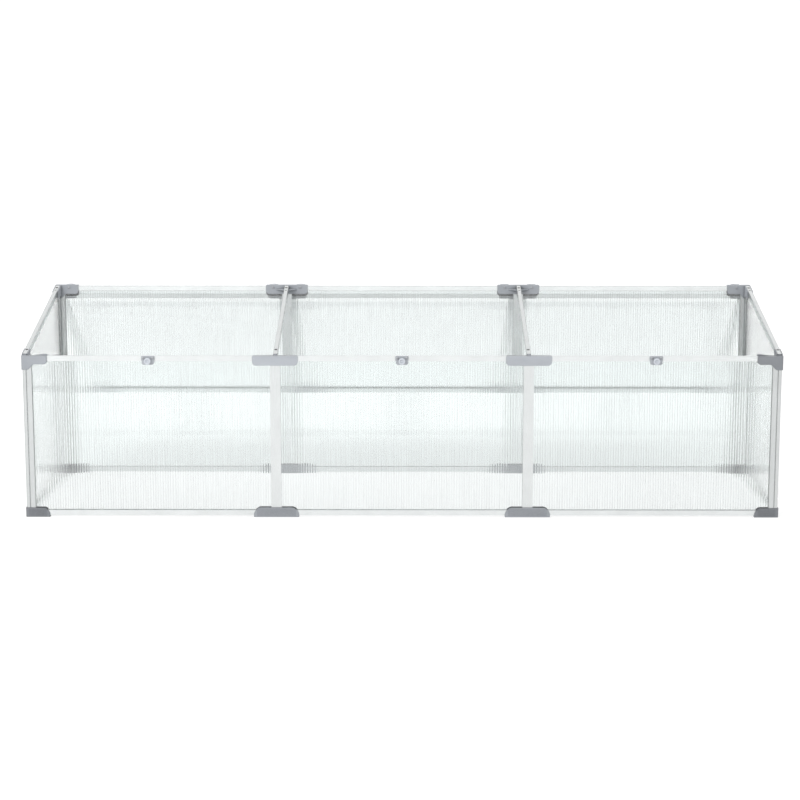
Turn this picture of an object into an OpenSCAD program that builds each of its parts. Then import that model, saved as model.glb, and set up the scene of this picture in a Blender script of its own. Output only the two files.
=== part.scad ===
// Cold frame with three bays: twin-wall panels held in slim channel rails and posts, moulded
// connectors at every joint, and a lid over each bay, hinged along the top of the rear wall.
// The lids lie folded back behind the rear wall, with their stays hanging straight down.
// Millimetres. X runs along the frame, Y from front to rear and Z up. The origin is on the
// ground, in the middle of the rectangle that the eight feet stand in.

/* [Frame] */
// Length over the end connectors
frame_length = 1800; // [1500:10:2100]
// Depth over the front and rear connectors
frame_depth = 510; // [480:5:600]
// Height of the front wall over its connectors
front_height = 390; // [340:1:400]
// Height of the rear wall over its connectors
rear_height = 498; // [490:1:530]

/* [Rails and posts] */
// Depth of every wall rail and post
rail_depth = 10; // [10:0.5:12]
// Height of the sills, top rails and rafters
rail_height = 12.5; // [12:0.5:14]
// Wall thickness of the extrusions
rail_wall = 1.3; // [1:0.1:1.5]
// Width of an inner post's face
tee_post_width = 24.6; // [24:0.2:28]
// Width of a corner post's face
corner_post_width = 22; // [21:0.5:25]

/* [Panels] */
// Thickness of the twin-wall sheet
panel_thickness = 4; // [3.6:0.1:4.2]
// Distance from one flute to the next
flute_pitch = 6; // [5:0.5:12]
// Thickness of the sheet's two skins
skin_thickness = 0.35; // [0.3:0.05:0.5]
// Thickness of the webs between flutes
web_thickness = 0.3; // [0.3:0.05:0.5]

/* [Connectors] */
// Thickness of the connectors' plates
plate_thickness = 2; // [1.8:0.1:2.4]
// Length of the tee connectors
tee_length = 108; // [100:1:120]
// Height of the front top tee connectors
front_tee_height = 23; // [21:0.5:26]
// Height of the rear top connectors' inner plates
rear_inner_height = 23; // [22:0.5:28]
// Height of the rear top connectors' outer plates
rear_outer_height = 30; // [28:0.5:34]
// Length of a front corner connector's arm along the front wall
front_arm_length = 61; // [56:1:70]
// Length of a rear corner connector's arm along the rear wall
rear_arm_length = 59; // [48:1:66]
// Height of the corner feet
corner_foot_height = 22.2; // [21:0.2:23]
// Height of the tee feet
tee_foot_height = 23.2; // [22:0.2:23.6]

/* [Lids] */
// How far the folded lids hang below level
fold_slope = 38.5; // [30:0.5:40]
// Gap between neighbouring lids
lid_gap = 3; // [2:0.5:5]
// Width of the lids' rails
lid_rail_width = 20; // [18:0.5:22]
// Distance from the hinge axis back to the rear wall's face
hinge_standoff = 16.5; // [16:0.5:20]

/* [Stays and knobs] */
// Width of a stay
stay_width = 14; // [12:0.5:14]
// Thickness of a stay
stay_thickness = 3; // [2.5:0.1:3]
// Length of a stay below its pivot
stay_length = 128; // [110:1:130]
// Distance between a stay's holes
stay_hole_pitch = 32; // [20:1:33]
// Diameter of a clamp knob
knob_diameter = 16; // [14:0.5:18]

/* [Hidden] */
$fn = 48;
fit = 0.2;            // clearance between the pieces of the fixed frame
bite = 1;             // how far a joined shape runs into its neighbour
far = 1000;           // more than any cut needs
names = ["left", "middle", "right"];

// Frame layout
bay_length = frame_length / 3;
bays = [-bay_length, 0, bay_length];
tees = [-bay_length / 2, bay_length / 2];
channel = rail_depth + 2 * fit;              // width of the slot inside a connector
connector_depth = channel + 2 * plate_thickness;
half_depth = connector_depth / 2;
wall_x = frame_length / 2 - half_depth;      // centre planes of the walls
wall_y = frame_depth / 2 - half_depth;
inner_y = wall_y - half_depth;               // inner faces of the front and rear connectors

// Heights
foot_floor = 3.8;
sill_z = foot_floor + fit;
post_z = foot_floor + fit;
front_cover = 0.5;                           // from the front connectors' tops to the front rails'
front_rail_z = front_height - front_cover - rail_height;
rear_cover = 2.2;                            // the rear connectors close over the rear rails
rear_rail_z = rear_height - rear_cover - fit - rail_height;
post_top_gap = 0.5;

// Channel sections
groove_mouth = 4.4;
rail_groove = 5.5;
post_groove = 7;
inner_web = 1;
edge_gap = 0.3;                              // between a panel's edge and its groove's floor
corner_reach = corner_post_width - rail_depth / 2;
tee_reach = tee_post_width / 2;
rail_web = 3;                                // connector web between two rails' ends
rib_drop = 12;                               // from a connector's top down to its ribs
fixing_offset = 35;                          // screws and hinge points from the ends of the bays
front_arm_height = 20.5;
leg_height = 33.5;                           // of the corner connectors' legs

// Where the closed lids lie: they just clear the front and rear connectors
lid_clearance = 0.6;
closed_slope = atan2(rear_height - front_height, inner_y + frame_depth / 2);
lug_radius = 6;
hinge_y = frame_depth / 2 + hinge_standoff;
hinge_z = rear_height - lug_radius;

// Lids. Inside a lid, s runs from the hinge axis towards the front edge and t away from the bay.
lid_under = (roof_z(hinge_y, 0) - hinge_z) * cos(closed_slope);   // t of the caps' undersides
lid_thickness = 12;
lid_top = lid_under + lid_thickness;
lid_length = frame_depth + 27;
lid_half = (bay_length - lid_gap) / 2;
cap_wall = 1;
cap_arm = 60;
hinge_cap_arm = 47;                          // of a hinge-side cap's arm along the hinge rail
hinge_cap_side = 25;                         // and of its arm along the lid's side
lid_rail_inset = cap_wall + fit;
lid_rail_depth = lid_thickness - 2 * lid_rail_inset;
lid_rail_groove = 9;
lid_mid = (lid_under + lid_top) / 2;
hinge_x = bay_length / 2 - fixing_offset;    // hinge points from a lid's centre
lug_width = 8;
ear_width = 6;
ear_radius = 5.5;
ear_gap = 0.3;
pin_radius = 2.42;
pin_bore = 2.5;

// Rafters. Tongues on the connectors reach into the hollows in their ends.
connector_gap = 0.4;                         // from the closed lids down to the connectors' tops
rafter_gap = 0.6;                            // from the closed lids down to the rafters' tops
tongue_top = rafter_gap + rail_wall + fit;
tongue_bottom = rafter_gap + rail_height - rail_groove - inner_web - fit;
front_tongue = 33;                           // the tongues' lengths from the inner faces
rear_tongue = 48;

// Stays, brackets and knobs
bracket_face = frame_depth / 2 + 3.8;        // the brackets' front, ahead of the wall
knob_back = bracket_face + 3.4;              // leaves room for a stay behind the knob
stay_plane = (bracket_face + knob_back) / 2;
knob_drop = 11.3;
knob_z = front_height - knob_drop;
stem_radius = 3;
stem_bore = 3.06;
stay_hole = 3.5;
stay_eye = 4;
stay_pin = 1.95;
stay_bore = 2.03;
clevis_ear = 4;
clevis_gap = 0.4;                            // between the stay and the clevis's ears
clevis_relief = 0.25;                        // between the stay's eye and the clevis's web
pivot_s = (hinge_y + stay_plane - lid_mid * sin(closed_slope)) / cos(closed_slope);
pivot_y = hinge_y + pivot_s * cos(fold_slope) - lid_mid * sin(fold_slope);
pivot_z = hinge_z - pivot_s * sin(fold_slope) - lid_mid * cos(fold_slope);
first_hole = hinge_z - pivot_s * sin(closed_slope) + lid_mid * cos(closed_slope) - knob_z;
stay_holes = [for (d = [first_hole : stay_hole_pitch : stay_length - stay_width / 2]) d];

// Screws
screw_x = [for (b = bays, side = [-1, 1]) b + side * (bay_length / 2 - fixing_offset)];
screw_radius = 1.4;
screw_bore = 1.5;
screw_length = 6;
chamber_mid = (rail_groove + inner_web + rail_height - rail_wall) / 2;
bracket_screw_x = 11;
rafter_screws_front = [27];                  // distances from the inner faces
rafter_screws_rear = [20, 39];

// Height of the line that runs a distance below the closed lids' underside
function roof_z(y, below) = front_height + lid_clearance
  + (y + frame_depth / 2) * tan(closed_slope) - below / cos(closed_slope);

// Points along an arc from angle a0 to angle a1
function arc(centre, radius, a0, a1) = [for (i = [0 : 8]) let (a = a0 + (a1 - a0) * i / 8)
  centre + radius * [cos(a), sin(a)]];

// ---- Shared shapes ----

// Extrudes a profile drawn in Y and Z from x0 to x1
module along_x(x0, x1) {
  translate([x0, 0, 0]) rotate([90, 0, 90]) linear_extrude(x1 - x0) children();
}

// Extrudes a profile drawn in X and Z from y0 to y1
module along_y(y0, y1) {
  translate([0, y1, 0]) rotate([90, 0, 0]) linear_extrude(y1 - y0) children();
}

// Places a piece drawn for the front left corner at any corner, side and face being -1 or 1
module at_corner(side, face) {
  scale([-side, -face, 1]) translate([-wall_x, -wall_y, 0]) children();
}

// What is cut from a square corner at the origin to round it
module corner_waste(radius) {
  difference() {
    translate([-bite, -bite]) square(radius + bite);
    translate([radius, radius]) circle(radius);
  }
}

// A plate with a radius for each corner, counter-clockwise from the lower left
module round_plate(width, height, radii) {
  corners = [[0, 0], [width, 0], [width, height], [0, height]];
  difference() {
    square([width, height]);
    for (i = [0 : 3]) if (radii[i] > 0) translate(corners[i]) rotate(90 * i) corner_waste(radii[i]);
  }
}

// Section of a glazing channel: the mouth at y = 0, a closed hollow behind the groove
module channel_section(depth, height, groove) {
  inside = depth - 2 * rail_wall;
  difference() {
    translate([-depth / 2, 0]) square([depth, height]);
    translate([-groove_mouth / 2, -bite]) square([groove_mouth, bite + rail_wall + fit]);
    translate([-inside / 2, rail_wall]) square([inside, groove - rail_wall]);
    translate([-inside / 2, groove + inner_web])
      square([inside, height - rail_wall - groove - inner_web]);
  }
}

// A box with its near and far corners given
module box(low, high) {
  translate(low) cube(high - low);
}

// A sloping block between two distances below the closed lids, centred on x
module under_lid(x, width, y0, y1, top, bottom) {
  along_x(x - width / 2, x + width / 2) polygon([[y0, roof_z(y0, top)], [y1, roof_z(y1, top)],
    [y1, roof_z(y1, bottom)], [y0, roof_z(y0, bottom)]]);
}

// Twin-wall sheet: width along x, centred thickness along y, height along z, flutes upright
module twin_wall(x0, x1, z0, z1) {
  flutes = floor((x1 - x0) / flute_pitch);
  cell = (x1 - x0) / flutes;
  half = panel_thickness / 2;
  void_y = half - skin_thickness;
  outline = [[x0, -half], [x1, -half], [x1, half], [x0, half]];
  voids = [for (i = [0 : flutes - 1]) let (a = x0 + i * cell + web_thickness / 2,
    b = x0 + (i + 1) * cell - web_thickness / 2) [[a, -void_y], [b, -void_y], [b, void_y], [a, void_y]]];
  loops = concat([outline], voids);
  translate([0, 0, z0]) linear_extrude(z1 - z0)
    polygon([for (l = loops) each l], [for (k = [0 : flutes]) [for (j = [0 : 3]) 4 * k + j]]);
}

// Cross recess cut down from the z = 0 plane
module cross_recess() {
  length = 3.4;
  slot = 0.8;
  depth = 0.9;
  for (a = [0, 90]) rotate(a) translate([-length / 2, -slot / 2, -depth])
    cube([length, slot, depth + bite]);
}

// Pan-head screw: its head on the z = 0 plane, its shank going down
module screw() {
  head_radius = 3.2;
  head_height = 2.2;
  rim_height = 1.3;
  crown_radius = 1.9;
  difference() {
    union() {
      translate([0, 0, -screw_length]) cylinder(r = screw_radius, h = screw_length + bite);
      cylinder(r = head_radius, h = rim_height);
      translate([0, 0, rim_height])
        cylinder(r1 = head_radius, r2 = crown_radius, h = head_height - rim_height);
    }
    translate([0, 0, head_height]) cross_recess();
  }
}

// Countersunk screw, or the hole that it fits when it is grown a little: its head ends at z = 0
module countersunk(grow) {
  head_radius = 3.6;
  head_height = 1.2;
  length = 5.5;
  shank = screw_radius + grow;
  translate([0, 0, -length - grow]) cylinder(r = shank, h = length + grow);
  translate([0, 0, -head_height]) cylinder(r1 = shank, r2 = head_radius + grow, h = head_height);
}

// ---- Fixed frame ----

// Places children at a wall's rail screws, their z axis pointing into the frame
module at_rail_screws(face) {
  rail_z = face < 0 ? front_rail_z : rear_rail_z;
  for (x = screw_x, z = [sill_z + rail_height - chamber_mid, rail_z + chamber_mid])
    translate([x, face * inner_y, z]) rotate([face * 90, 0, 0]) children();
}

// Places children at the bracket screws, their z axis pointing forwards
module at_bracket_screws() {
  for (b = bays, side = [-1, 1])
    translate([b + side * bracket_screw_x, -bracket_face, front_rail_z + chamber_mid])
      rotate([90, 0, 0]) children();
}

// Places children on the rafters' tops over the tongues at one wall, their z axis pointing up
module at_rafter_screws(face) {
  for (x = [-wall_x, tees[0], tees[1], wall_x], d = face < 0 ? rafter_screws_front : rafter_screws_rear)
    let (y = face * (inner_y - d))
      translate([x, y, roof_z(y, rafter_gap)]) rotate([closed_slope, 0, 0]) children();
}

module rafter_screw_holes() {
  for (face = [-1, 1]) at_rafter_screws(face) countersunk(screw_bore - screw_radius);
}

// Every rail and bracket screw's hole through one wall's pieces
module screw_holes(face) {
  head_room = 2;
  bracket_hole = 9;
  at_rail_screws(face) translate([0, 0, -screw_length - bite])
    cylinder(r = screw_bore, h = screw_length + bite + head_room);
  if (face < 0) at_bracket_screws() translate([0, 0, -bracket_hole])
    cylinder(r = screw_bore, h = bracket_hole + head_room);
}

module corner_post(side, face) {
  base = -rail_depth / 2;
  arm = corner_post_width - rail_depth;
  edge_radius = 3.5;
  line_at = base + 9.2;                      // a decorative groove along each outer face
  line_width = 1.4;
  line_depth = 0.8;
  rafter_z = roof_z(wall_y - corner_reach, rafter_gap + rail_height);   // its underside at a rear post
  top = (face < 0 ? front_rail_z : rafter_z) - post_top_gap;
  color([0.86, 0.88, 0.88]) at_corner(side, face) translate([0, 0, post_z]) linear_extrude(top - post_z)
    difference() {
      union() {
        difference() {
          translate([base, base]) square(rail_depth);
          translate([base + rail_wall, base + rail_wall]) square(rail_depth - 2 * rail_wall);
        }
        translate([corner_reach, 0]) rotate(90) channel_section(rail_depth, arm, post_groove);
        translate([0, corner_reach]) rotate(180) channel_section(rail_depth, arm, post_groove);
      }
      translate([base, base]) corner_waste(edge_radius);
      translate([line_at, base]) square([line_width, 2 * line_depth], center = true);
      translate([base, line_at]) square([2 * line_depth, line_width], center = true);
    }
}

module inner_posts() {
  color([0.88, 0.90, 0.90]) for (x = tees, face = [-1, 1])
    let (top = (face < 0 ? front_rail_z : rear_rail_z) - post_top_gap)
      translate([x, face * wall_y, post_z]) linear_extrude(top - post_z)
        for (turn = [0, 180]) rotate(turn) translate([tee_reach, 0]) rotate(90)
          channel_section(rail_depth, tee_reach, post_groove);
}

// Both ends of a bay's sill, between the posts
function sill_ends(bay) = [
  bay < 0 ? -wall_x + corner_reach + edge_gap : bay - bay_length / 2 + tee_reach + edge_gap,
  bay > 0 ? wall_x - corner_reach - edge_gap : bay + bay_length / 2 - tee_reach - edge_gap
];

// Both ends of a bay's top rail, which runs on over the posts
function rail_ends(bay) = [
  bay < 0 ? -wall_x + half_depth + 2 * edge_gap : bay - bay_length / 2 + rail_web / 2 + edge_gap,
  bay > 0 ? wall_x - half_depth - 2 * edge_gap : bay + bay_length / 2 - rail_web / 2 - edge_gap
];

module sills(face) {
  color([0.86, 0.88, 0.88]) difference() {
    for (bay = bays) let (ends = sill_ends(bay)) along_x(ends[0], ends[1])
      translate([face * wall_y, sill_z + rail_height]) rotate(180)
        channel_section(rail_depth, rail_height, rail_groove);
    screw_holes(face);
  }
}

module side_sills() {
  reach = wall_y - corner_reach - edge_gap;
  color([0.86, 0.88, 0.88]) for (side = [-1, 1]) along_y(-reach, reach)
    translate([side * wall_x, sill_z + rail_height]) rotate(180)
      channel_section(rail_depth, rail_height, rail_groove);
}

module top_rail(bay, face) {
  ends = rail_ends(bay);
  rail_z = face < 0 ? front_rail_z : rear_rail_z;
  color([0.93, 0.94, 0.94]) difference() {
    along_x(ends[0], ends[1]) translate([face * wall_y, rail_z])
      channel_section(rail_depth, rail_height, rail_groove);
    screw_holes(face);
  }
}

// A sloping rafter under the edges of the closed lids
module rafter(x) {
  end_gap = 0.5;
  front_y = -inner_y + end_gap;
  rear_y = inner_y - end_gap - rail_height * sin(closed_slope);
  color([0.86, 0.88, 0.88]) difference() {
    translate([x, front_y, roof_z(front_y, rafter_gap)]) rotate([closed_slope, 0, 0])
      along_y(0, (rear_y - front_y) / cos(closed_slope))
        translate([0, -rail_height]) channel_section(rail_depth, rail_height, rail_groove);
    rafter_screw_holes();
  }
}

// A row of shallow grooves, drawn on the z plane along x from 0, cutting into +y
module groove_comb(length) {
  pitch = 3;
  width = 1.2;
  depth = 0.4;
  margin = 3;                                // plain face at each end of the row
  count = floor((length - 2 * margin) / pitch);
  start = (length - (count - 1) * pitch - width) / 2;
  teeth = [for (i = [0 : count - 1]) let (a = start + i * pitch)
    each [[a, -bite], [a, depth], [a + width, depth], [a + width, -bite]]];
  polygon(concat(teeth, [[length - bite, -2 * bite], [bite, -2 * bite]]));
}

// A foot's upright plate, which leans in towards the top at its right end and, if both, its left end
module foot_plate(length, height, both) {
  lean_radius = 20;
  upright = 3.8;                             // how far the ends go straight up
  intersection() {
    square([length, height]);
    round_plate(length, lean_radius + upright, [0, 0, lean_radius, both ? lean_radius : 0]);
  }
}

foot_comb_inset = 4;                         // the grooves' distance from a foot's ends
foot_comb_rim = 3;                           // plain rims below and above the grooves

module corner_feet() {
  arm = 58;
  edge_radius = 4;
  comb = arm - 2 * foot_comb_inset;
  comb_height = corner_foot_height - 2 * foot_comb_rim;
  color([0.60, 0.61, 0.65]) for (side = [-1, 1], face = [-1, 1]) difference() {
    at_corner(side, face) difference() {
      union() {
        along_y(-half_depth, half_depth) translate([-half_depth, 0])
          foot_plate(arm, corner_foot_height, false);
        along_x(-half_depth, half_depth) translate([-half_depth, 0])
          foot_plate(arm, corner_foot_height, false);
      }
      box([-channel / 2, -channel / 2, foot_floor], [far, channel / 2, far]);
      box([-channel / 2, -channel / 2, foot_floor], [channel / 2, far, far]);
      translate([-half_depth, -half_depth, -bite]) linear_extrude(far) corner_waste(edge_radius);
      translate([foot_comb_inset - half_depth, -half_depth, foot_comb_rim]) linear_extrude(comb_height)
        groove_comb(comb);
      translate([-half_depth, foot_comb_inset - half_depth, foot_comb_rim]) linear_extrude(comb_height)
        mirror([1, -1, 0]) groove_comb(comb);
    }
    screw_holes(face);
  }
}

module tee_feet() {
  comb = tee_length - 2 * foot_comb_inset;
  color([0.62, 0.63, 0.67]) for (x = tees, face = [-1, 1]) difference() {
    translate([x, face * wall_y, 0]) scale([1, -face, 1]) difference() {
      along_y(-half_depth, half_depth) translate([-tee_length / 2, 0])
        foot_plate(tee_length, tee_foot_height, true);
      box([-far, -channel / 2, foot_floor], [far, channel / 2, far]);
      translate([-comb / 2, -half_depth, foot_comb_rim])
        linear_extrude(tee_foot_height - 2 * foot_comb_rim) groove_comb(comb);
    }
    screw_holes(face);
  }
}

// Tongue inside one end of a rafter, on a connector's inner face
module rafter_tongue(x, face) {
  width = rail_depth - 2 * rail_wall - 2 * fit;
  tip = face * (inner_y - (face < 0 ? front_tongue : rear_tongue));
  difference() {
    union() {
      under_lid(x, width, face * (inner_y + bite), tip, tongue_top, tongue_bottom);
      if (face < 0)                          // the front plates are too low to hold all of the root
        under_lid(x, width, face * (inner_y + plate_thickness), face * inner_y, connector_gap,
          tongue_bottom);
    }
    rafter_screw_holes();
  }
}

// Flat triangular ribs on both sides of a rafter's end
module rafter_ribs(x, face, z) {
  reach = 22;
  thickness = 2.5;
  start = channel / 2;
  for (side = [-1, 1]) translate([x, face * inner_y, z]) linear_extrude(thickness) scale([side, -face])
    polygon([[start, -bite], [start + reach, -bite], [start + reach, 0], [start, reach]]);
}

// A tee connector's plate over part of its depth, with its two lower corners rounded
module tee_plate(x, y0, y1, top, height) {
  corner = 9;
  top_corner = 2;
  along_y(y0, y1) translate([x - tee_length / 2, top - height])
    round_plate(tee_length, height, [corner, corner, top_corner, top_corner]);
}

// The slots for the rails' ends on both sides of a tee connector, and the one for the post under them
module tee_slots(x, face, slot_top, web_bottom) {
  for (s = [-1, 1]) translate([x + s * (far + rail_web) / 2, face * wall_y, slot_top - far / 2])
    cube([far, channel, far], center = true);
  translate([x, face * wall_y, web_bottom - far / 2]) cube([2 * rail_web, channel, far], center = true);
}

module tee_connector_front(side) {
  x = side * bay_length / 2;
  color([0.67, 0.68, 0.72]) difference() {
    union() {
      difference() {
        tee_plate(x, -wall_y - half_depth, -wall_y + half_depth, front_height, front_tee_height);
        tee_slots(x, -1, far, front_rail_z - edge_gap);
      }
      rafter_tongue(x, -1);
      rafter_ribs(x, -1, front_height - rib_drop);
    }
    screw_holes(-1);
  }
}

// Hinge lug behind the rear wall at one hinge point
module hinge_lug(x) {
  difference() {
    along_x(x - lug_width / 2, x + lug_width / 2) {
      translate([hinge_y, hinge_z]) circle(lug_radius);
      translate([frame_depth / 2 - bite, hinge_z - lug_radius])
        square([hinge_standoff + bite, 2 * lug_radius]);
    }
    translate([x - lug_width, hinge_y, hinge_z]) rotate([0, 90, 0])
      cylinder(r = pin_bore, h = 2 * lug_width);
  }
}

module tee_connector_rear(side) {
  x = side * bay_length / 2;
  color([0.64, 0.65, 0.69]) difference() {
    union() {
      difference() {
        union() {
          tee_plate(x, wall_y - half_depth, wall_y, rear_height, rear_inner_height);
          tee_plate(x, wall_y, wall_y + half_depth, rear_height, rear_outer_height);
        }
        tee_slots(x, 1, rear_height - rear_cover, rear_rail_z - edge_gap);
      }
      rafter_tongue(x, 1);
      rafter_ribs(x, 1, rear_height - rib_drop);
      for (s = [-1, 1]) hinge_lug(x + s * (bay_length / 2 - hinge_x));
    }
    screw_holes(1);
  }
}

// An L-shaped plate: an arm along the top, and a short leg that runs into it in an S-shaped curve
module elbow_plate(arm, arm_height) {
  base = leg_height - arm_height;            // height of the arm's underside
  heel = 3;
  sole = 13;                                 // width of the leg's flat end
  bend = 7;
  blend = 9;
  tip = 8;
  top_corner = 2;
  rise = base - (bend + blend) * (1 - cos(45));
  blend_x = sole + (bend + blend) * sin(45) + rise;
  polygon(concat([[0, leg_height]],
    arc([heel, heel], heel, 180, 270),
    arc([sole, bend], bend, 270, 315),
    arc([blend_x, base - blend], blend, 135, 90),
    arc([arm - tip, base + tip], tip, 270, 360),
    arc([arm - top_corner, leg_height - top_corner], top_corner, 0, 90)));
}

// A corner connector's side plate, which follows the closed lids. Drawn in Y and Z.
module side_plate(face, top) {
  outer = face * frame_depth / 2;
  leg_y = outer - face * corner_post_width;
  tip = face * (inner_y - (face < 0 ? front_tongue : rear_tongue));
  base = connector_gap + (face < 0 ? front_arm_height : rear_inner_height);
  cut = 5;                                   // the chamfers at the leg's and the arm's corners
  polygon([
    [outer, top], [face * inner_y, top], [face * inner_y, roof_z(face * inner_y, connector_gap)],
    [tip, roof_z(tip, connector_gap)], [tip, roof_z(tip, base - cut)],
    [tip + face * cut, roof_z(tip + face * cut, base)],
    [leg_y - face * cut, roof_z(leg_y - face * cut, base)],
    [leg_y, roof_z(leg_y, base + cut)],
    [leg_y, top - leg_height + cut], [leg_y + face * cut, top - leg_height],
    [outer, top - leg_height]]);
}

// A lip along the top of a front corner connector's inner plate, rising towards the arm's end
module corner_lip() {
  rise = 2.6;
  start = 22;
  flat = 8;
  arm = front_arm_length - half_depth;
  along_y(half_depth - plate_thickness, half_depth) polygon([
    [start, front_height - bite], [start, front_height], [arm - flat, front_height + rise],
    [arm - bite, front_height + rise], [arm, front_height + rise - bite], [arm, front_height - bite]]);
}

module corner_connector(side, face) {
  top = face < 0 ? front_height : rear_height;
  slot_top = face < 0 ? far : rear_height - rear_cover;
  post_top = (face < 0 ? front_rail_z : rear_rail_z) - edge_gap;
  opening = half_depth + fit;                // where the slots start, from the wall crossing
  edge_radius = 4;
  color([0.63, 0.64, 0.68]) difference() {
    union() {
      difference() {
        union() {
          at_corner(side, face) translate([0, 0, top - leg_height]) {
            if (face < 0) {
              along_y(-half_depth, half_depth) translate([-half_depth, 0])
                elbow_plate(front_arm_length, front_arm_height);
            } else {
              along_y(-half_depth, 0) translate([-half_depth, 0])
                elbow_plate(rear_arm_length, rear_outer_height);
              along_y(0, half_depth) translate([-half_depth, 0])
                elbow_plate(rear_arm_length, rear_inner_height);
            }
          }
          along_x(side * wall_x - half_depth, side * wall_x + half_depth) side_plate(face, top);
        }
        at_corner(side, face) {
          // Post
          box([-channel / 2, -channel / 2, 0], [corner_reach + fit, channel / 2, post_top]);
          box([-channel / 2, -channel / 2, 0], [channel / 2, corner_reach + fit, post_top]);
          // Rail and front or rear panel
          box([opening, -channel / 2, 0], [far, channel / 2, slot_top]);
          translate([-half_depth, -half_depth, 0]) linear_extrude(far) corner_waste(edge_radius);
        }
        // Rafter and side panel
        under_lid(side * wall_x, channel, face * (wall_y - opening), 0, -far, far);
      }
      rafter_tongue(side * wall_x, face);
      if (face < 0) at_corner(side, face) corner_lip();
      if (face > 0) hinge_lug(side * (bay_length + hinge_x));
    }
    screw_holes(face);
    rafter_screw_holes();
  }
}

// ---- Panels ----

// Both edges of a bay's wall panel, inside the posts' grooves
function panel_ends(bay) = [
  bay < 0 ? -wall_x + corner_reach - post_groove + edge_gap
    : bay - bay_length / 2 + tee_reach - post_groove + edge_gap,
  bay > 0 ? wall_x - corner_reach + post_groove - edge_gap
    : bay + bay_length / 2 - tee_reach + post_groove - edge_gap
];
panel_bottom = sill_z + rail_height - rail_groove + edge_gap;

module wall_panel(bay, face) {
  ends = panel_ends(bay);
  top = (face < 0 ? front_rail_z : rear_rail_z) + rail_groove - edge_gap;
  color([0.93, 0.95, 0.97, 0.5]) translate([0, face * wall_y, 0])
    twin_wall(ends[0], ends[1], panel_bottom, top);
}

module side_panel(side) {
  edge = wall_y - corner_reach + post_groove - edge_gap;
  top_below = rafter_gap + rail_height - rail_groove + edge_gap;
  color([0.93, 0.95, 0.97, 0.5]) intersection() {
    translate([side * wall_x, 0, 0]) rotate(90) twin_wall(-edge, edge, panel_bottom, rear_height);
    along_x(side * wall_x - panel_thickness, side * wall_x + panel_thickness) polygon([
      [-frame_depth, 0], [frame_depth, 0], [frame_depth, roof_z(frame_depth, top_below)],
      [-frame_depth, roof_z(-frame_depth, top_below)]]);
  }
}

// ---- Brackets and screws ----

module stay_brackets() {
  width = 30;
  height = 20.5;
  corner = 6;
  top_corner = 1.5;
  notch = 3.5;                               // radius of the notches in the bracket's sides
  notch_depth = 1.5;
  back = wall_y + rail_depth / 2 + fit;
  color([0.66, 0.67, 0.71]) difference() {
    for (b = bays) along_y(-bracket_face, -back)
      translate([b - width / 2, front_height - height]) difference() {
        round_plate(width, height, [corner, corner, top_corner, top_corner]);
        for (x = [notch_depth - notch, width + notch - notch_depth])
          translate([x, corner + bite]) circle(notch);
      }
    for (b = bays) translate([b, 0, knob_z]) rotate([90, 0, 0]) cylinder(r = stem_bore, h = far);
    screw_holes(-1);
  }
}

module frame_screws() {
  color([0.75, 0.75, 0.76]) {
    for (face = [-1, 1]) at_rail_screws(face) screw();
    at_bracket_screws() screw();
  }
}

module rafter_screws() {
  color([0.16, 0.16, 0.17]) for (face = [-1, 1]) at_rafter_screws(face) difference() {
    countersunk(0);
    cross_recess();
  }
}

// ---- Lids ----

// Places a lid drawn with x across, y = s and z = t over its bay, folded back
module at_lid(bay) {
  translate([bay, hinge_y, hinge_z]) rotate([-fold_slope, 0, 0]) rotate([0, 180, 0]) children();
}

module lid_section() {
  channel_section(lid_rail_depth, lid_rail_width, lid_rail_groove);
}

module lid_hinge_rail(bay) {
  half = lid_half - lid_rail_inset - fit / 2;
  color([0.92, 0.93, 0.93]) at_lid(bay) along_x(-half, half)
    translate([lid_rail_inset + lid_rail_width, lid_mid]) rotate(90) lid_section();
}

module lid_rails(bay) {
  half = lid_half - lid_rail_inset - fit / 2;
  inset = lid_rail_inset + lid_rail_width;
  color([0.90, 0.91, 0.91]) at_lid(bay) {
    along_x(-half, half) translate([lid_length - inset, lid_mid]) rotate(-90) lid_section();
    for (side = [-1, 1]) along_y(inset + fit, lid_length - inset - fit)
      translate([side * (lid_half - inset), lid_mid]) rotate(-90 * side) lid_section();
  }
}

module lid_panel(bay) {
  inset = lid_rail_inset + lid_rail_width - lid_rail_groove + edge_gap;
  color([0.93, 0.95, 0.97, 0.5]) at_lid(bay) translate([0, 0, lid_mid]) rotate([-90, 0, 0])
    twin_wall(-lid_half + inset, lid_half - inset, inset, lid_length - inset);
}

// A cap round a corner of the lid frame, its outer corner at the origin, with arms along +x and +y
module lid_cap(arm, side_arm) {
  arm_width = lid_rail_inset + lid_rail_width + fit;
  tip = 3;
  inner_tip = 6;
  edge_radius = 2.5;
  translate([0, 0, lid_under]) difference() {
    linear_extrude(lid_thickness) difference() {
      union() {
        round_plate(arm, arm_width, [0, tip, inner_tip, 0]);
        round_plate(arm_width, side_arm, [0, 0, inner_tip, tip]);
      }
      corner_waste(edge_radius);
    }
    box([cap_wall, cap_wall, cap_wall], [far, far, lid_thickness - cap_wall]);
  }
}

// The pair of ears that goes round a hinge lug, at x = 0, reaching from a cap to the axis
module hinge_ears() {
  root = lid_under + fit + cap_wall / 2;     // where the ears run into the cap
  root_end = 14;
  side = [5.3, -1.5];                        // where the straight sides start, just off the round end
  for (ear = [-1, 1]) difference() {
    translate([ear * (lug_width / 2 + ear_gap + ear_width / 2), 0, 0])
      along_x(-ear_width / 2, ear_width / 2) {
        circle(ear_radius);
        polygon([-side, [edge_gap, root], [root_end, root], side]);
      }
    translate([ear * lug_width, 0, 0]) rotate([0, 90, 0])
      cylinder(r = pin_bore, h = 3 * ear_width, center = true);
  }
}

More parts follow.
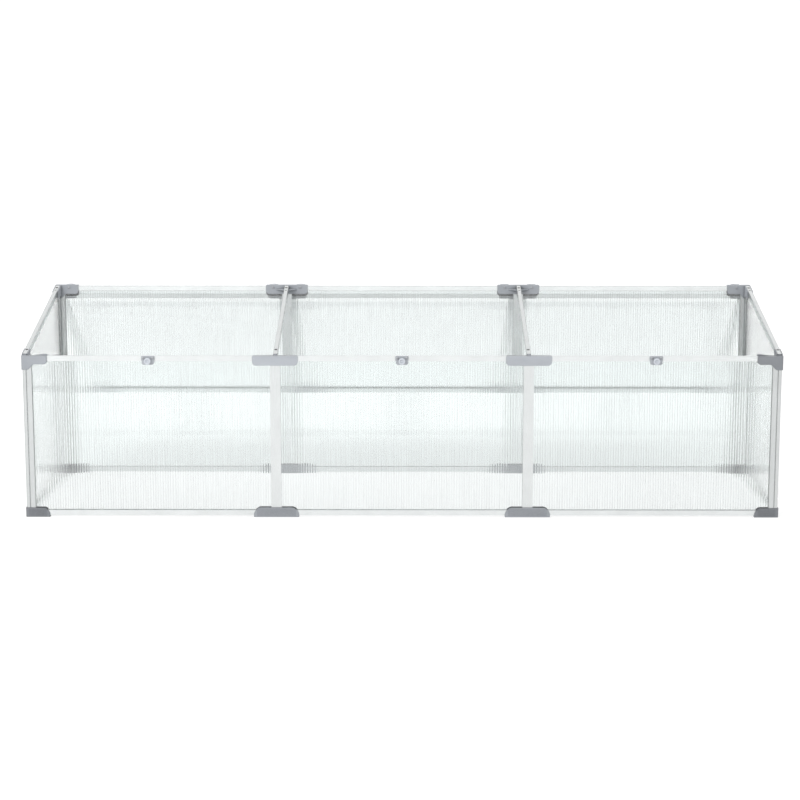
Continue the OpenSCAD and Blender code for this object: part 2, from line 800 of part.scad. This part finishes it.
// The clevis that a stay hangs from, on the lid's front rail
module stay_clevis() {
  ear_x = stay_width / 2 + clevis_gap;
  root_s = lid_length - lid_rail_inset + fit;
  web_s = pivot_s - stay_eye - clevis_relief;
  radius = 4.5;
  difference() {
    union() {
      box([-ear_x - clevis_ear, root_s, lid_mid - radius], [ear_x + clevis_ear, web_s, lid_mid + radius]);
      for (side = [-1, 1]) translate([side * (ear_x + clevis_ear / 2), 0, 0])
        along_x(-clevis_ear / 2, clevis_ear / 2) {
          translate([pivot_s, lid_mid]) circle(radius);
          translate([root_s, lid_mid - radius]) square([pivot_s - root_s, 2 * radius]);
        }
    }
    translate([0, pivot_s, lid_mid]) rotate([0, 90, 0]) cylinder(r = stay_bore, h = far, center = true);
  }
}

module lid_fittings(bay) {
  color([0.62, 0.63, 0.67]) at_lid(bay) {
    for (side = [-1, 1]) scale([side, 1, 1]) {
      translate([-lid_half, 0, 0]) lid_cap(hinge_cap_arm, hinge_cap_side);
      translate([-hinge_x, 0, 0]) hinge_ears();
      translate([-lid_half, lid_length, 0]) mirror([0, 1, 0]) lid_cap(cap_arm, cap_arm);
    }
    stay_clevis();
  }
}

// A pin along x with a thin head at each end, centred on the origin
module headed_pin(radius, grip) {
  head = 1.2;
  rotate([0, 90, 0]) {
    cylinder(r = radius, h = grip, center = true);
    for (side = [-1, 1]) translate([0, 0, side * (grip + head) / 2])
      cylinder(r = radius + head, h = head, center = true);
  }
}

module lid_pins(bay) {
  play = 0.3;                                // between a pin's heads and what it goes through
  hinge_grip = lug_width + 2 * (ear_gap + ear_width + play);
  stay_grip = stay_width + 2 * (clevis_gap + clevis_ear + play);
  color([0.70, 0.70, 0.71]) at_lid(bay) {
    for (side = [-1, 1]) translate([side * hinge_x, 0, 0]) headed_pin(pin_radius, hinge_grip);
    translate([0, pivot_s, lid_mid]) headed_pin(stay_pin, stay_grip);
  }
}

// ---- Stays and knobs ----

module stay(bay) {
  half = stay_width / 2;
  color([0.80, 0.81, 0.82]) translate([bay, pivot_y, pivot_z]) difference() {
    union() {
      rotate([0, 90, 0]) cylinder(r = stay_eye, h = stay_width, center = true);
      along_y(-stay_thickness / 2, stay_thickness / 2) {
        translate([-half, -stay_length + half]) square([stay_width, stay_length - half]);
        translate([0, -stay_length + half]) circle(half);
      }
    }
    rotate([0, 90, 0]) cylinder(r = stay_bore, h = far, center = true);
    for (d = stay_holes) translate([0, 0, -d]) rotate([90, 0, 0])
      cylinder(r = stay_hole, h = far, center = true);
  }
}

module knob(bay) {
  radius = knob_diameter / 2;
  thickness = 5.8;
  rim = 1;                                   // rounding of the knob's edges
  dish = 2;                                  // depth of the dished face
  dish_floor = 0.42 * radius;
  dish_mouth = 0.68 * radius;
  flute = 1.5;
  flute_depth = 0.6;
  flute_rim = 1.2;                           // plain edge at each end of a flute
  stem_gap = 0.6;                            // from the stem's end to the rail
  stem = knob_back - wall_y - rail_depth / 2 - stem_gap;
  color([0.72, 0.73, 0.76]) translate([bay, -knob_back, knob_z]) rotate([90, 0, 0]) difference() {
    rotate_extrude() difference() {
      union() {
        translate([0, -stem]) square([stem_radius, stem + bite]);
        square([radius - rim, thickness]);
        translate([0, rim]) square([radius, thickness - 2 * rim]);
        for (z = [rim, thickness - rim]) translate([radius - rim, z]) circle(rim);
      }
      polygon([[-bite, thickness - dish], [dish_floor, thickness - dish],
        [dish_mouth, thickness + bite], [-bite, thickness + bite]]);
      translate([-far, -far]) square([far, 2 * far]);
    }
    for (a = [0 : 30 : 330]) rotate(a) translate([radius + flute - flute_depth, 0, thickness / 2])
      cylinder(r = flute, h = thickness - 2 * flute_rim, center = true);
  }
}

corner_post(-1, -1);  // corner_post_front_left
corner_post(1, -1);  // corner_post_front_right
corner_post(-1, 1);  // corner_post_rear_left
corner_post(1, 1);  // corner_post_rear_right
inner_posts();
sills(-1);  // front_sills
sills(1);  // rear_sills
side_sills();
rafter(-wall_x);  // rafter_left_end
rafter(tees[0]);  // rafter_left_inner
rafter(tees[1]);  // rafter_right_inner
rafter(wall_x);  // rafter_right_end
corner_feet();
tee_feet();
corner_connector(-1, -1);  // corner_connector_front_left
corner_connector(1, -1);  // corner_connector_front_right
corner_connector(-1, 1);  // corner_connector_rear_left
corner_connector(1, 1);  // corner_connector_rear_right
tee_connector_front(-1);  // tee_connector_front_left
tee_connector_front(1);  // tee_connector_front_right
tee_connector_rear(-1);  // tee_connector_rear_left
tee_connector_rear(1);  // tee_connector_rear_right
side_panel(-1);  // side_panel_left
side_panel(1);  // side_panel_right
stay_brackets();
frame_screws();
rafter_screws();
// The pieces that every bay has
for (i = [0 : 2]) {
  top_rail(bays[i], -1);
  top_rail(bays[i], 1);
  wall_panel(bays[i], -1);
  wall_panel(bays[i], 1);
  lid_panel(bays[i]);
  lid_hinge_rail(bays[i]);
  lid_rails(bays[i]);
  lid_fittings(bays[i]);
  lid_pins(bays[i]);
  stay(bays[i]);
  knob(bays[i]);
}
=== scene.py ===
"""Looks of the cold frame: materials, softened edges, studio and camera."""
import math
import bpy
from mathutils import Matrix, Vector

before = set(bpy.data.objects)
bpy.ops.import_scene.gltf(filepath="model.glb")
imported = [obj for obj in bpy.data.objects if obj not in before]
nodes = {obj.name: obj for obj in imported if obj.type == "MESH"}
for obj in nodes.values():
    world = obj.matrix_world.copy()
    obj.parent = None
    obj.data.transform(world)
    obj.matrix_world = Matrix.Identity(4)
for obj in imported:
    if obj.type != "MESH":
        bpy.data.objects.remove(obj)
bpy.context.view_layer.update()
scene = bpy.context.scene


# ---- Places and sizes, in metres unless the name says otherwise ----

CAMERA_PLACE = (0.0144, -4.953, 1.128)
CAMERA_DIP_DEGREES = 10.176
CAMERA_TURN_DEGREES = 0.232
LENS_MM = 90.72
SENSOR_MM = 36

KEY_LAMP = {"place": (-2.0, -2.2, 2.2), "aim": (-0.4, 0, 0.3), "size": 1.2, "power": 46}
TOP_LAMP = {"place": (0.0, 0.4, 3.8), "aim": (0, 0, 0.2), "size": 3.0, "power": 8}
WORLD_STRENGTH = 1.1
FLOOR_GLOW = 0.69
FLOOR_REACH = 60
FLOOR_GAP = 0.0006

EDGE_WIDTH = 0.0003
FLUTE_PITCH = 0.006
FLUTE_SAG = 0.000022

# How far a pattern is drawn out along each axis
LONG = 60
ALONG_X = (LONG, 1, 1)
ALONG_Y = (1, LONG, LONG / 4)
ALONG_Z = (1, 1, LONG)
ALONG_LID = (1, LONG, LONG)


# ---- Colours and finishes ----

ANODISED = (0.86, 0.885, 0.885, 1)
# The colour of painted shade in grooves and corners.
GROOVE_SHADE = (0.16, 0.175, 0.18, 1)
GREY_PLASTIC = (0.40, 0.422, 0.455, 1)
MILKY_VEIL = (0.96, 0.98, 0.98, 1)
WHITE = (1, 1, 1, 1)
POLYCARBONATE_IOR = 1.58

# Each extrusion's run of die lines; its brightness, one anodised finish in lighter and darker copies as
# painted light and shade matched to how light falls on each part; and how strongly painted shade darkens
# its edges
ALUMINIUM = {
    "aluminium_x": {"stretch": ALONG_X, "tone": 0.885},
    "aluminium_y": {"stretch": ALONG_Y, "tone": 0.76, "rim": 1.0},
    "aluminium_z": {"stretch": ALONG_Z, "tone": 0.81},
    "aluminium_lid": {"stretch": ALONG_X, "tone": 0.88, "rim": 1.0},
    "aluminium_rear_rail": {"stretch": ALONG_X, "tone": 1.03, "rim": 0.9},
    "aluminium_corner": {"stretch": ALONG_Z, "tone": 0.7, "rim": 0.9},
    "aluminium_rear": {"stretch": ALONG_Z, "tone": 0.68, "rim": 0.9},
}

# The plastic's brightness: one grey plastic in lighter and darker copies, as painted light and shade,
# darker on the right, at the rear and at the feet where less light falls on them, and painted shade
# reaching deeper into the rear's corners
PLASTIC = {
    "grey_plastic": {"tone": 0.9},
    "grey_plastic_left": {"tone": 0.70},
    "grey_plastic_right": {"tone": 0.51},
    "grey_plastic_rear": {"tone": 0.84, "reach": 0.013, "shade_depth": 0.95},
    "grey_plastic_tee_feet": {"tone": 0.69},
    "grey_plastic_corner_feet": {"tone": 0.42},
    "knob_plastic": {"tone": 1.25, "rough": 0.34},
}

STEEL = {
    "zinc_plate": {"dark": (0.44, 0.45, 0.47, 1), "light": (0.60, 0.61, 0.62, 1), "rough": 0.25},
    "dull_zinc": {"dark": (0.36, 0.37, 0.39, 1), "light": (0.47, 0.48, 0.50, 1), "rough": 0.45},
    "black_oxide": {"dark": (0.02, 0.02, 0.022, 1), "light": (0.05, 0.05, 0.055, 1), "rough": 0.40},
}

# The axis across the flutes, the way that they run and the colour of the clear plastic, which is lighter
# on the side panels and lids as painted light where they would come out darker.
#  The side panels are seen almost edge on, and a share of plain air keeps them as pale there as they
#  should be.
SHEET = {
    "sheet_wall": {"across": "X", "stretch": ALONG_Z, "tint": (0.982, 0.999, 0.997, 1)},
    "sheet_side": {"across": "Y", "stretch": ALONG_Z, "tint": (0.997, 1, 1, 1), "air": 0.5},
    "sheet_lid": {"across": "X", "stretch": ALONG_LID, "tint": (0.992, 1, 1, 1)},
}


# ---- Camera ----

def make_camera():
    """Stands in front of the frame and a little above it, at the photograph's place."""
    data = bpy.data.cameras.new("camera")
    data.sensor_width = SENSOR_MM
    data.lens = LENS_MM
    camera = bpy.data.objects.new("camera", data)
    camera.location = CAMERA_PLACE
    camera.rotation_euler.x = math.radians(90 - CAMERA_DIP_DEGREES)
    camera.rotation_euler.z = math.radians(CAMERA_TURN_DEGREES)
    scene.collection.objects.link(camera)
    scene.camera = camera


# ---- Node helpers ----

class Tree:
    """A material's node tree, with a short way to add a node and feed its inputs."""

    def __init__(self, name):
        self.material = bpy.data.materials.new(name)
        self.material.use_nodes = True
        self.nodes = self.material.node_tree.nodes
        self.links = self.material.node_tree.links
        self.nodes.clear()
        self.coordinates = self.add("ShaderNodeTexCoord").outputs["Object"]

    def add(self, kind, feeds=None, **settings):
        """Adds a node. feeds gives each named or numbered input a value or another node's output."""
        node = self.nodes.new(kind)
        for key, value in settings.items():
            setattr(node, key, value)
        for key, value in (feeds or {}).items():
            if isinstance(value, bpy.types.NodeSocket):
                self.links.new(value, node.inputs[key])
            else:
                node.inputs[key].default_value = value
        return node

    def math(self, operation, first, second=0.0):
        """One arithmetic step."""
        return self.add("ShaderNodeMath", {0: first, 1: second}, operation=operation).outputs[0]

    def noise(self, size, stretch=(1, 1, 1), detail=3.0, roughness=0.5):
        """Noise with features of about size metres, drawn out along an axis where stretch is above 1."""
        scale = [1 / (size * s) for s in stretch]
        mapping = self.add("ShaderNodeMapping", {"Vector": self.coordinates, "Scale": scale})
        feeds = {"Vector": mapping.outputs[0], "Scale": 1.0, "Detail": detail, "Roughness": roughness}
        return self.add("ShaderNodeTexNoise", feeds).outputs["Fac"]

    def spread(self, value, low, high, start=0.3, end=0.7):
        """Maps a texture's value from start..end to low..high."""
        feeds = {"Value": value, "From Min": start, "From Max": end, "To Min": low, "To Max": high}
        return self.add("ShaderNodeMapRange", feeds).outputs["Result"]

    def mix_colour(self, factor, first, second):
        """Blends two colours by a factor. The node's colour sockets are inputs 6 and 7 and output 2."""
        feeds = {"Factor": factor, 6: first, 7: second}
        return self.add("ShaderNodeMix", feeds, data_type="RGBA").outputs[2]

    def bump(self, height, distance, strength=1.0, normal=None):
        """A bump of distance metres from a height texture, on top of another bump if one is given."""
        feeds = {"Height": height, "Distance": distance, "Strength": strength}
        if normal is not None:
            feeds["Normal"] = normal
        return self.add("ShaderNodeBump", feeds).outputs["Normal"]

    def shelter(self, distance):
        """How open a point is to its surroundings: 0 deep in a groove or corner, 1 in the open."""
        return self.add("ShaderNodeAmbientOcclusion", {"Distance": distance}, samples=6).outputs["AO"]

    def edges(self, radius):
        """About 1 on convex and concave edges, and 0 on flat faces."""
        rounded = self.add("ShaderNodeBevel", {"Radius": radius}, samples=4).outputs["Normal"]
        flat = self.add("ShaderNodeNewGeometry").outputs["Normal"]
        turn = self.add("ShaderNodeVectorMath", {0: rounded, 1: flat}, operation="DOT_PRODUCT")
        return self.spread(turn.outputs["Value"], 1.0, 0.0, 0.75, 0.99)

    def principled(self, feeds):
        """A Principled shader with the given inputs."""
        return self.add("ShaderNodeBsdfPrincipled", feeds).outputs[0]

    def mix_shader(self, factor, first, second):
        """Blends two shaders by a factor."""
        return self.add("ShaderNodeMixShader", {0: factor, 1: first, 2: second}).outputs[0]

    def finish(self, shader):
        """Links the shader to the output and returns the material."""
        self.add("ShaderNodeOutputMaterial", {"Surface": shader})
        return self.material


def shade(colour, factor):
    """A colour made lighter or darker."""
    return tuple(min(1.0, factor * c) for c in colour[:3]) + (1,)


# ---- Materials ----

def aluminium(name, stretch, tone, rim=0.0):
    """Anodised extrusion: die lines along its length, clouds, scuffs, and painted shade in its grooves
    and along its edges.
    """
    t = Tree(name)
    light, dark = shade(ANODISED, 1.03 * tone), shade(ANODISED, 0.95 * tone)
    line_colour, edge_shade_colour = shade(ANODISED, 0.6 * tone), shade(ANODISED, 0.16 * tone)
    lines = t.noise(0.0008, stretch, detail=2.0)
    clouds = t.noise(0.05, detail=4.0)
    scuffs = t.noise(0.004, detail=6.0, roughness=0.7)
    colour = t.mix_colour(t.spread(clouds, 0, 1), dark, light)
    colour = t.mix_colour(t.spread(lines, 0, 0.10, 0.35, 0.65), colour, line_colour)
    # Painted shade along the edges, standing in for shaded edges and side faces.
    colour = t.mix_colour(t.math("MULTIPLY", t.edges(0.002), rim), colour, edge_shade_colour)
    # Painted shade: darker in grooves and corners, where shade falls.
    groove_shade = t.spread(t.shelter(0.004), 0.75, 0, 0.15, 0.8)
    colour = t.mix_colour(groove_shade, colour, GROOVE_SHADE)
    rough = t.math("ADD", t.spread(lines, 0.24, 0.36), t.spread(scuffs, 0, 0.10, 0.6, 0.75))
    normal = t.bump(lines, 0.00004, 0.6)
    return t.finish(t.principled({"Base Color": colour, "Metallic": 1.0, "Roughness": rough,
                                  "Normal": normal}))


def moulded_plastic(name, tone, rough=0.42, reach=0.006, shade_depth=0.65):
    """Moulded grey plastic: spark-eroded grain, flow marks, specks, and painted shade along its edges
    and in its corners.
    reach is how many metres the painted corner shade reaches out of a corner, and the last argument is
    its share in the deepest one."""
    t = Tree(name)
    light, dark = shade(GREY_PLASTIC, 1.06 * tone), shade(GREY_PLASTIC, 0.94 * tone)
    speck_colour, edge_shade_colour = shade(GREY_PLASTIC, 0.6 * tone), shade(GREY_PLASTIC, 0.35 * tone)
    grain = t.noise(0.0006, detail=2.0)
    flow = t.noise(0.03, (1.8, 1, 0.7), detail=3.0)
    specks = t.noise(0.0012, detail=4.0, roughness=0.7)
    colour = t.mix_colour(t.spread(flow, 0, 1), dark, light)
    colour = t.mix_colour(t.spread(specks, 0, 0.35, 0.62, 0.72), colour, speck_colour)
    # Painted shade along the edges, standing in for shaded edges and side faces.
    colour = t.mix_colour(t.math("MULTIPLY", t.edges(0.0013), 0.7), colour, edge_shade_colour)
    # Painted shade: darker in corners and under parts, where shade falls.
    grime = t.spread(t.shelter(reach), shade_depth, 0, 0.1, 0.75)
    colour = t.mix_colour(grime, colour, shade(GREY_PLASTIC, 0.15 * tone))
    roughness = t.spread(flow, rough, rough + 0.12)
    normal = t.bump(grain, 0.00006, 0.5)
    return t.finish(t.principled({"Base Color": colour, "Roughness": roughness, "Normal": normal,
                                  "Specular IOR Level": 0.45}))


def plated_steel(name, dark, light, rough):
    """Plated or blackened steel with a mottled sheen."""
    t = Tree(name)
    mottle = t.noise(0.003, detail=5.0)
    colour = t.mix_colour(t.spread(mottle, 0, 1), dark, light)
    roughness = t.spread(mottle, rough, rough + 0.15)
    normal = t.bump(mottle, 0.00005, 0.4)
    return t.finish(t.principled({"Base Color": colour, "Metallic": 1.0, "Roughness": roughness,
                                  "Normal": normal}))


def twin_wall(name, across, stretch, tint, air=0.0):
    """Clear polycarbonate: skins sagging between the flutes' webs, painted shade as faint darker stripes
    in the tint at the flute pitch, die ripples and a milky veil. air is the share of light that passes
    straight through."""
    t = Tree(name)
    place = t.add("ShaderNodeSeparateXYZ", {0: t.coordinates}).outputs[across]
    wave = t.math("SINE", t.math("MULTIPLY", place, 2 * math.pi / FLUTE_PITCH))
    backs = t.add("ShaderNodeNewGeometry").outputs["Backfacing"]
    outward = t.math("SUBTRACT", 1.0, t.math("MULTIPLY", backs, 2.0))
    # Painted shade: the tint darkened in stripes at the flute pitch, standing in for the webs' shading.
    stripes = t.mix_colour(t.spread(wave, 0, 1, -1, 1), shade(tint, 0.972), tint)
    ripples = t.math("MULTIPLY", t.noise(0.0025, stretch, detail=1.0), outward)
    sagging = t.bump(t.math("MULTIPLY", wave, outward), FLUTE_SAG)
    normal = t.bump(ripples, 0.00003, 1.0, sagging)
    clear = t.principled({"Base Color": stripes, "Transmission Weight": 1.0, "IOR": POLYCARBONATE_IOR,
                          "Roughness": 0.015, "Normal": normal})
    milky = t.principled({"Base Color": MILKY_VEIL, "Roughness": 0.35})
    veil = t.spread(t.noise(0.0016, stretch, detail=2.0), 0.0, 0.05, 0.35, 0.75)
    sheet = t.mix_shader(veil, clear, milky)
    straight_through = t.add("ShaderNodeBsdfTransparent").outputs[0]
    return t.finish(t.mix_shader(air, sheet, straight_through))


def make_kit():
    """Every material, by name."""
    kit = {}
    for make, looks in ((aluminium, ALUMINIUM), (moulded_plastic, PLASTIC),
                        (plated_steel, STEEL), (twin_wall, SHEET)):
        for name, look in looks.items():
            kit[name] = make(name, **look)
    return kit


# ---- Dressing the CAD nodes ----

def material_name(node_name):
    """The name of a CAD node's material, from what the node's name says that it is."""
    first, *_, last = node_name.split("_")
    if "panel" in node_name:
        return "sheet_" + (first if first in ("lid", "side") else "wall")
    if node_name == "rafter_screws":
        return "black_oxide"
    if node_name == "frame_screws":
        return "dull_zinc"
    # The corner posts, rear posts, rafters and rear rails take lighter or darker copies of the anodised
    # finish, as painted light and shade.
    if node_name.startswith("corner_post"):
        return "aluminium_rear" if "rear" in node_name else "aluminium_corner"
    if node_name == "inner_posts":
        return "aluminium_z"
    if first == "rafter" or node_name == "side_sills":
        return "aluminium_y"
    if first == "lid" and "rail" in node_name:
        return "aluminium_lid"
    if node_name.startswith("rear_top_rail"):
        return "aluminium_rear_rail"
    if "rail" in node_name or last == "sills":
        return "aluminium_x"
    if last == "pins" or first == "stay" and last != "brackets":
        return "zinc_plate"
    if first == "knob":
        return "knob_plastic"
    # The feet, the rear connectors and the left and right corners take darker or lighter copies of the
    # grey plastic, as painted light and shade.
    if last == "feet":
        return "grey_plastic_corner_feet" if first == "corner" else "grey_plastic_tee_feet"
    if "connector_rear" in node_name:
        return "grey_plastic_rear"
    if first == "corner":
        return "grey_plastic_" + last
    return "grey_plastic"


def soften_edges(node):
    """Merges the triangles of flat faces and rounds the sharp edges a little."""
    flat = node.modifiers.new("merge_flats", "DECIMATE")
    flat.decimate_type = "DISSOLVE"
    flat.angle_limit = math.radians(1)
    bevel = node.modifiers.new("soft_edges", "BEVEL")
    bevel.width = EDGE_WIDTH
    bevel.segments = 2
    bevel.limit_method = "ANGLE"
    bevel.angle_limit = math.radians(40)
    bevel.harden_normals = True


def dress_nodes():
    """Gives every CAD node its material, and soft edges to all but the thin sheets."""
    kit = make_kit()
    for name, node in nodes.items():
        node.data.materials.clear()
        node.data.materials.append(kit[material_name(name)])
        if "panel" not in name:
            soften_edges(node)


# ---- Studio ----

def make_floor():
    """A wide, plain, pale floor, a hair below the height that the feet stand on."""
    far = FLOOR_REACH
    corners = [(-far, -far, 0), (far, -far, 0), (far, far, 0), (-far, far, 0)]
    mesh = bpy.data.meshes.new("floor")
    mesh.from_pydata(corners, [], [(0, 1, 2, 3)])
    floor = bpy.data.objects.new("floor", mesh)
    floor.location.z = -FLOOR_GAP
    t = Tree("floor")
    tone = t.spread(t.noise(1.5, detail=2.0), 0.35, 0.37)
    colour = t.add("ShaderNodeCombineColor", {0: tone, 1: tone, 2: tone}).outputs[0]
    feeds = {"Base Color": colour, "Roughness": 0.9, "Specular IOR Level": 0.1,
             "Emission Color": WHITE, "Emission Strength": FLOOR_GLOW}
    mesh.materials.append(t.finish(t.principled(feeds)))
    scene.collection.objects.link(floor)


def make_light(name, place, aim, size, power):
    """A large soft area lamp at place, facing aim, of power watts."""
    data = bpy.data.lights.new(name, "AREA")
    data.shape = "SQUARE"
    data.size = size
    data.energy = power
    lamp = bpy.data.objects.new(name, data)
    lamp.location = place
    lamp.rotation_euler = (Vector(aim) - Vector(place)).to_track_quat("-Z", "Y").to_euler()
    scene.collection.objects.link(lamp)


def make_world():
    """Plain white surroundings."""
    world = bpy.data.worlds.new("studio")
    world.use_nodes = True
    background = world.node_tree.nodes["Background"]
    background.inputs["Color"].default_value = WHITE
    background.inputs["Strength"].default_value = WORLD_STRENGTH
    scene.world = world


def allow_many_bounces():
    """Lets light pass through several twin-wall panels, each of which has four skins."""
    scene.cycles.max_bounces = 32
    scene.cycles.transmission_bounces = 28
    scene.cycles.transparent_max_bounces = 32
    scene.cycles.diffuse_bounces = 4
    scene.cycles.glossy_bounces = 6


def make_studio():
    """A white studio with a broad key light from the front left."""
    make_world()
    make_light("key", **KEY_LAMP)
    make_light("top", **TOP_LAMP)
    make_floor()
    scene.view_settings.view_transform = "Standard"
    scene.cycles.use_denoising = True
    allow_many_bounces()


make_camera()
make_studio()
dress_nodes()
